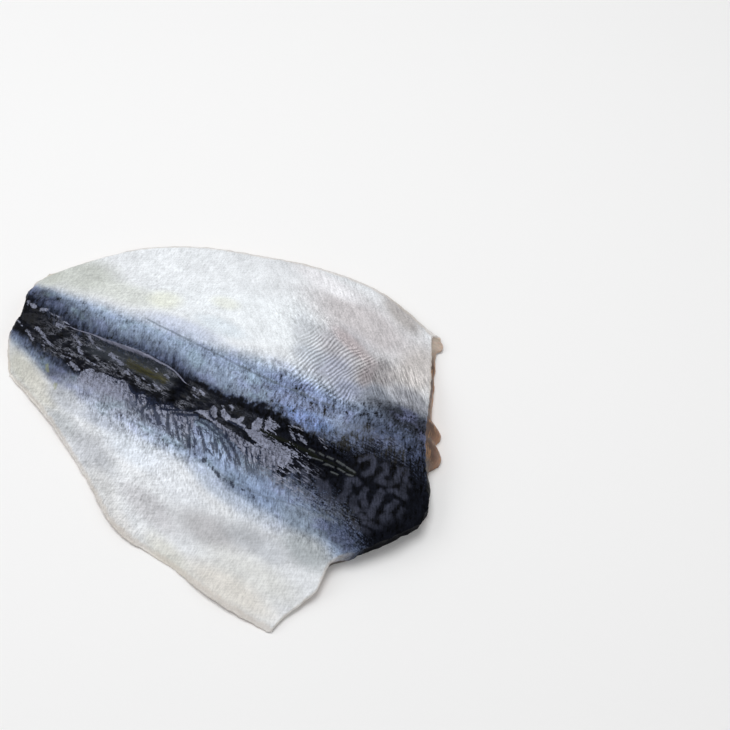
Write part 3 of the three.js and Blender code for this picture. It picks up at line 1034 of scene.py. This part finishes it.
def dark_back(f, n, colour, shade):
    """Navy, then near black, with a feathered edge. Gives how dark the skin is too."""
    feather = f.noise((1.4, 5), detail=4, rough=0.62, turn=-14, shift=2) - 0.5
    at_nape = f.x.from_to(152, 164)
    scallops = f.x.from_to(84, 100)
    combed = n["brush"] * (2.8 - scallops * 2.6) + (n["soft"] * 5 + n["mottle"] * 3) * scallops
    speckled = n["grit"] * 2.4 + n["streak"] * 2.6 + n["leaning"] * 1.6 + n["mottle"] * 1.2
    edge = f.field("dark") + n["cloud"] + combed * (1 - at_nape) + speckled * at_nape
    edge = edge + feather * (1.4 - scallops * 0.6) * (1 - at_nape * 0.6) + n["grit"] * 0.6
    colour = f.blend(edge.from_to(-1.5, 0.5) * 0.9, colour, f.lit(NAVY, shade * 2))
    dark = edge.from_to(-0.3, 1.3)
    return f.blend(dark, colour, f.lit(NEAR_BLACK, shade * 2)), dark


def nape_stripes(f, n, colour, dark):
    stripes = (f.field("stripes") + n["soft"] * 2 + n["across"] * 0.8).from_to(-0.9, 0.8)
    stripes = stripes * f.noise((6, 6), shift=29).from_to(0.1, 0.5) * f.field("to_head").from_to(3, 14) * dark
    grained = f.lit(STRIPE_GREY, n["grit"] * 1.2 + n["across"] * 1.6 + n["mottle"])
    return f.blend(stripes * 0.82, colour, grained)


def slit_and_channel(f, n, colour):
    """The olive leaf inside the slit, the long fin's channel, and painted highlights on the stumps of its
    rays.
    """
    leaf = (f.field("leaf") + n["streak"] * 7).from_to(-1.4, 1.8)
    colour = f.blend(leaf * 0.8, colour, f.lit(LEAF_OLIVE, n["streak"] * 3))
    channel = (f.field("channel") + n["soft"] * 1.6).from_to(-0.4, 0.5)
    colour = f.blend(channel, colour, CHANNEL_OLIVE)
    # Painted highlights on the stumps.
    stumps = (f.field("stumps") + n["grit"] * 0.8).from_to(-0.3, 0.25)
    return f.blend(stumps * 0.62, colour, STUMP_HIGHLIGHT)


def wet_black(f, n, colour, dark):
    """Painted sheen and painted glinting strands in the wet black round the slit. Gives how far that reaches
    too.
    """
    x, off_back = f.x, f.field("off_back")
    reach = (off_back - x.from_to(26, 16) * 5).from_to(5.4, 3.6) * off_back.from_to(-14, -9) * dark
    reach = reach * (x.from_to(104, 88) + x.from_to(150, 130) * 0.2).at_most(1)
    reach = reach * (x - KNOT_AT).size().from_to(1, 6)
    strands = threads(f.noise((5, 1.6), twist=1.4, turn=14, shift=31), 0.04, 0.01)
    finer = threads(f.noise((3.4, 1.5), twist=1, turn=-28, shift=33), 0.03, 0.005)
    glints = n["streak"].from_to(0.06, 0.16).at_least(strands.at_least(finer))
    glints = glints * f.noise((6, 3), shift=19).from_to(0.43, 0.58) * x.from_to(2, 34)
    inside = off_back.from_to(-6, -3.5) * x.from_to(30, 44) * x.from_to(88, 78)
    sheen = f.noise((3.5, 1.8), twist=0.8, turn=10, shift=35).from_to(0.42, 0.68)
    sheen = sheen * x.from_to(14, 48) * off_back.from_to(-10, -3)
    colour = f.blend(reach * (sheen * 0.45).at_least(inside * 0.62), colour, WET_SHEEN)
    colour = f.blend(reach * glints * (0.9 - inside * 0.42), colour, f.lit(WET_GLINT, n["jag"] * 2.4))
    return colour, reach


def film_reflection_shape(f, n):
    """Where the wet skin's painted reflection lies: jagged islands, painted glints, and a combed fringe
    towards the nape.
    """
    x, y = f.x, f.y
    comb = f.noise((3.6, 0.9), twist=0.5, turn=12, shift=47) - 0.5
    film_and_reflection = f.field("film_and_reflection") + n["jag"] * 3.2 + (comb * 16 + n["grit"] * 6) * x.from_to(128, 144)
    film_and_reflection = film_and_reflection - x.from_to(136, 162) * y.from_to(-4, -9) * 6
    film_and_reflection = film_and_reflection.from_to(0, 0.2) * (1 - y.from_to(-13, -18) * x.from_to(106, 98))
    marks = (f.field("glints") + n["jag"] * 2.4 + n["streak"] * 3.4).from_to(0.1, 0.5)
    fringe = comb.from_to(0.03, 0.1) * x.from_to(136, 146) * x.from_to(172, 158)
    fringe = fringe * y.from_to(-27, -20) * y.from_to(-5, -9)
    return film_and_reflection.at_least(marks * 0.8).at_least(fringe * 0.8)


def film_folds(f, n):
    """Dark folds through the wet skin's painted reflection, barbs below it, and scribbles along its lower
    edge.
    """
    x, y = f.x, f.y
    run = y.from_to(-6, -11) * f.field("off_back").from_to(-27, -21) * x.from_to(58, 84) * x.from_to(158, 134)
    barbs = f.noise((7, 1.4), detail=3, rough=0.6, twist=0.9, turn=52, shift=37)
    ferns = f.noise((4, 1.4), detail=3, rough=0.6, twist=0.9, turn=14, shift=39)
    barbs = barbs.from_to(0.54, 0.57).at_least(ferns.from_to(0.57, 0.61)) * run
    folds = (f.field("folds") + n["jag"] * 2).from_to(-0.3, 0.25).at_least(barbs)
    scribbles = threads(f.noise((4.4, 1.7), twist=2, turn=24, shift=45), 0.05, 0.02)
    scribbles = scribbles * (f.field("film_and_reflection") - 1).size().from_to(3, 1) * y.from_to(-17, -13)
    scribbles = scribbles * x.from_to(106, 98) * (0.4 + x.from_to(52, 64) * 0.6)
    return folds.at_least(scribbles)


def film_reflection_layer(f, n, colour):
    """The wet skin's painted reflection, cleft by its folds. Gives where it lies and the folds too."""
    folds = film_folds(f, n)
    film_and_reflection = film_reflection_shape(f, n) * (1 - folds)
    tone = n["mottle"] * 1.2 + n["grit"] * 1.6 + n["across"] * 1.8 + n["jag"] * 0.8 + n["cloud"] * 0.8
    tone = tone + f.x.from_to(110, 94) * 0.14
    # Painted reflection of the light on the wet film.
    colour = f.blend(film_and_reflection, colour, f.lit(FILM_REFLECTION_GREY, tone))
    colour = f.blend(folds * 0.85, colour, f.lit(FOLD_BLUE, n["grit"] * 2))
    return colour, film_and_reflection, folds


def small_marks(f, n, colour):
    """Lateral lines, blotches, green smears and the pale rim."""
    lateral = (f.field("lateral") + n["soft"] * 1.2).size().from_to(0.75, 0.25)
    lateral = lateral * f.noise((6, 6), shift=14).from_to(0.25, 0.45)
    colour = f.blend(lateral * (0.35 + f.y.from_to(-2, 2) * 0.2), colour, LINE_GREY)
    blotches = (f.field("blotches") + n["jag"] * 2.6).from_to(-0.3, 0.3)
    colour = f.blend(blotches * 0.9, colour, BLOTCH_BLUE)
    smears = (f.field("green") + n["jag"] * 3).from_to(-0.2, 0.6)
    colour = f.blend(smears * 0.5, colour, SMEAR_GREEN)
    rim = (f.field("to_edge") + n["soft"] * 2.4).from_to(2.4, 0.2) * f.field("dark").from_to(0, -1.5)
    rim = rim * (1 - f.field("to_head").from_to(4, 3) * f.y.from_to(56, 46) * f.y.from_to(0, 8))
    return f.blend(rim * 0.45, colour, RIM_CREAM)


def skin_finish():
    f = Finish("mackerel_skin")
    n = brushwork(f)
    colour, shade = broad_colours(f, n)
    # The ridges' painted light and shade, which also serves as bump height.
    ridge_light_and_height = ridges(f, n)
    colour, dark = dark_back(f, n, f.lit(colour, ridge_light_and_height), shade)
    colour = nape_stripes(f, n, colour, dark)
    colour, wet = wet_black(f, n, colour, dark)
    colour = slit_and_channel(f, n, colour)
    colour, film_and_reflection, folds = film_reflection_layer(f, n, colour)
    lip = (f.field("lip").size() + n["jag"] * 1.4).from_to(0.75, 0.45)
    colour = f.blend(lip * 0.9, colour, f.lit(LIP_GREY, n["streak"] * 2))
    gloss = (film_and_reflection * 0.5 + wet * 0.6 + lip * 0.5).at_most(1)
    f.dress({
        "Base Color": small_marks(f, n, colour),
        "Roughness": 0.55 - gloss * 0.25,
        "Coat Weight": gloss * 0.2 + 0.1 * (1 - dark),
        "Coat Roughness": 0.14,
        "IOR": 1.4,
        "Specular IOR Level": 0.05,
    })
    height = shade * (0.03 + f.field("blue") * 0.05) + ridge_light_and_height * 0.2 + film_and_reflection * 0.06 - folds * 0.1
    f.bump(height + (n["jag"] * 0.3 + n["streak"] * 0.5) * wet, 0.9)
    return f.material


def meat_noises(f):
    """What the parts of the meat share: noises, and how far off the back and in the belly cavity it is."""
    n = {
        "mottle": f.noise((6, 6), detail=4, rough=0.6),
        "fibre": f.noise((2.6, 0.5), detail=3, rough=0.6, shift=5),
        "wander": (f.noise((22, 22), detail=1, shift=21) - 0.5) * 9,
        "aside": f.field("off_back").size(),
    }
    along = (f.x + n["wander"] * 2).from_to(76, 120)
    n["cavity"] = (n["aside"] + n["wander"] * 1.5).from_to(14, 38) * along
    return n


def flaky_meat(f, n):
    """Thin pale seams between the flakes, and the dark meat that lay against the backbone."""
    colour = f.blend(n["mottle"].from_to(0.35, 0.65), PINK, ROSE)
    zigzag = (f.field("off_back") * (math.pi / FLAKES["half_wave"]) + math.pi / 2).sine() * FLAKES["zigzag"]
    seam = (f.x + zigzag + n["wander"]) * (2 * math.pi / FLAKES["pitch"]) + math.pi / 2
    seam = seam.sine().from_to(0.7, 1.0) * f.noise((8, 8), shift=23).from_to(0.3, 0.6)
    colour = f.blend(seam * (1 - n["cavity"]) * 0.45, colour, SEAM_CREAM)
    inner = (n["aside"] + n["wander"] * 0.3).from_to(9, 2) + (n["mottle"] - 0.5)
    return f.blend(inner.from_to(0.2, 0.9) * 0.8, colour, BACKBONE_RED)


def belly_wall(f, n, colour):
    """Its silver lining, the marks of the ribs and fine fibres. Gives the marks too."""
    cavity = n["cavity"]
    colour = f.blend(cavity * 0.7, colour, f.lit(LINING_GREY, (n["mottle"] - 0.5) * 1.2))
    along = f.x + n["aside"] * RIB_MARKS["slant"] + n["wander"] * 1.2
    rib = (along * (2 * math.pi / RIB_MARKS["pitch"])).sine().from_to(0.6, 1.0) * cavity
    rib = rib * f.noise((12, 12), detail=1, shift=27).from_to(0.3, 0.6) * n["aside"].from_to(74, 50)
    colour = f.blend(rib * 0.35, colour, RIB_CREAM)
    return f.blend((n["fibre"] - 0.5).from_to(0.05, 0.3) * 0.35, colour, FIBRE_CREAM), rib


def cut_edges(f, n, colour):
    """Pale at the belly, and brown at the head cut with painted shade under the skin and on its near side,
    darker in its seams.
    """
    at_rim = f.field("to_edge").from_to(0.6, 0)
    colour = f.blend(at_rim * 0.8, colour, EDGE_CREAM)
    layer = f.noise((2.2, 9), detail=3, rough=0.6, twist=0.6, turn=-20, shift=13)
    # Painted shade: darker up towards the skin.
    cut = f.blend(f.field("up").from_to(0.2, 0.9), CUT_BROWN, CUT_IN_SHADE)
    cut = f.blend(layer.from_to(0.52, 0.66) * 0.5, cut, CUT_RED)
    cut = f.blend(layer.from_to(0.46, 0.36) * 0.45, cut, CUT_TAN)
    cut = f.blend(f.y.from_to(68, 78) * 0.7, cut, CUT_PALE)
    # Painted shadow over the near side of the head cut.
    cut = f.blend(f.y.from_to(27, 14) * f.y.from_to(-50, -40) * 0.92, cut, CUT_SHADE)
    grained = f.lit(cut, (n["mottle"] - 0.5) * 1.4 + (n["fibre"] - 0.5))
    return f.blend(f.field("to_head").from_to(0.6, 0) * 0.95, colour, grained)


def meat_finish():
    f = Finish("mackerel_meat")
    n = meat_noises(f)
    colour, rib = belly_wall(f, n, flaky_meat(f, n))
    f.dress({
        "Base Color": cut_edges(f, n, colour),
        "Roughness": 0.3 + n["mottle"] * 0.2,
        "Subsurface Weight": 0.15,
        "Subsurface Radius": (0.004, 0.0015, 0.001),
        "Subsurface Scale": 0.5,
    })
    f.bump(n["fibre"] * 0.18 + rib * 0.15 + n["mottle"] * 0.3, 0.8)
    return f.material


def floor_finish():
    f = Finish("pale_floor")
    f.dress({"Base Color": (0.9, 0.9, 0.9, 1), "Roughness": 0.9, "Specular IOR Level": 0.1})
    return f.material


# ---- Stage, light and camera ----
FLOOR_SIDE = 4.0
FLOOR_DROP = 0.00005
CAMERA = {"azimuth": 26.1, "elevation": 62.0, "lens": 70.0, "sensor": 36.0, "distance": 0.68056}
CLIP_START = 0.01
CAMERA_TARGET = (158.19, 56.79, 0.0)  # on the ground, in the fish's millimetres
# Soft lamps: name, azimuth, elevation, distance, width, power in watts.
LAMPS = [
    ("overhead", 215, 80, 1.1, 0.62, 6.2),
    ("left", 290, 40, 1.2, 0.8, 3.6),
    ("right", 110, 40, 1.2, 0.8, 1.8),
]
WORLD_STRENGTH = 0.33


def direction(azimuth, elevation):
    a, e = math.radians(azimuth), math.radians(elevation)
    return Vector((math.sin(a) * math.cos(e), -math.cos(a) * math.cos(e), math.sin(e)))


def make_floor():
    bm = bmesh.new()
    bmesh.ops.create_grid(bm, x_segments=1, y_segments=1, size=FLOOR_SIDE / 2)
    bmesh.ops.translate(bm, verts=bm.verts, vec=(0, 0, -FLOOR_DROP))
    mesh = mesh_from(bm, "floor")
    mesh.materials.append(floor_finish())
    floor = place_object("floor", mesh)


def make_lamps():
    for name, azimuth, elevation, distance, width, power in LAMPS:
        lamp = bpy.data.lights.new(name, "AREA")
        lamp.shape = "DISK"
        lamp.size = width
        lamp.energy = power
        made = place_object(name, lamp)
        made.location = direction(azimuth, elevation) * distance
        made.rotation_euler = direction(azimuth, elevation).to_track_quat("Z", "Y").to_euler()


def make_world():
    world = bpy.data.worlds.new("studio")
    world.use_nodes = True
    background = world.node_tree.nodes["Background"].inputs
    background["Color"].default_value = (1, 1, 1, 1)
    background["Strength"].default_value = WORLD_STRENGTH
    bpy.context.scene.world = world


def make_camera():
    data = bpy.data.cameras.new("camera")
    data.lens = CAMERA["lens"]
    data.sensor_width = CAMERA["sensor"]
    data.clip_start = CLIP_START
    camera = place_object("camera", data)
    target = Vector(to_metres(np.array(CAMERA_TARGET)))
    back = direction(CAMERA["azimuth"], CAMERA["elevation"])
    camera.location = target + back * CAMERA["distance"]
    camera.rotation_euler = back.to_track_quat("Z", "Y").to_euler()
    bpy.context.scene.camera = camera
    bpy.context.scene.view_settings.view_transform = "Standard"


# ---- The scene ----
make_camera()
make_world()
make_lamps()
make_floor()
mackerel = make_mackerel(skin_finish(), meat_finish())
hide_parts("butterflied_mackerel")
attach(mackerel, "root")
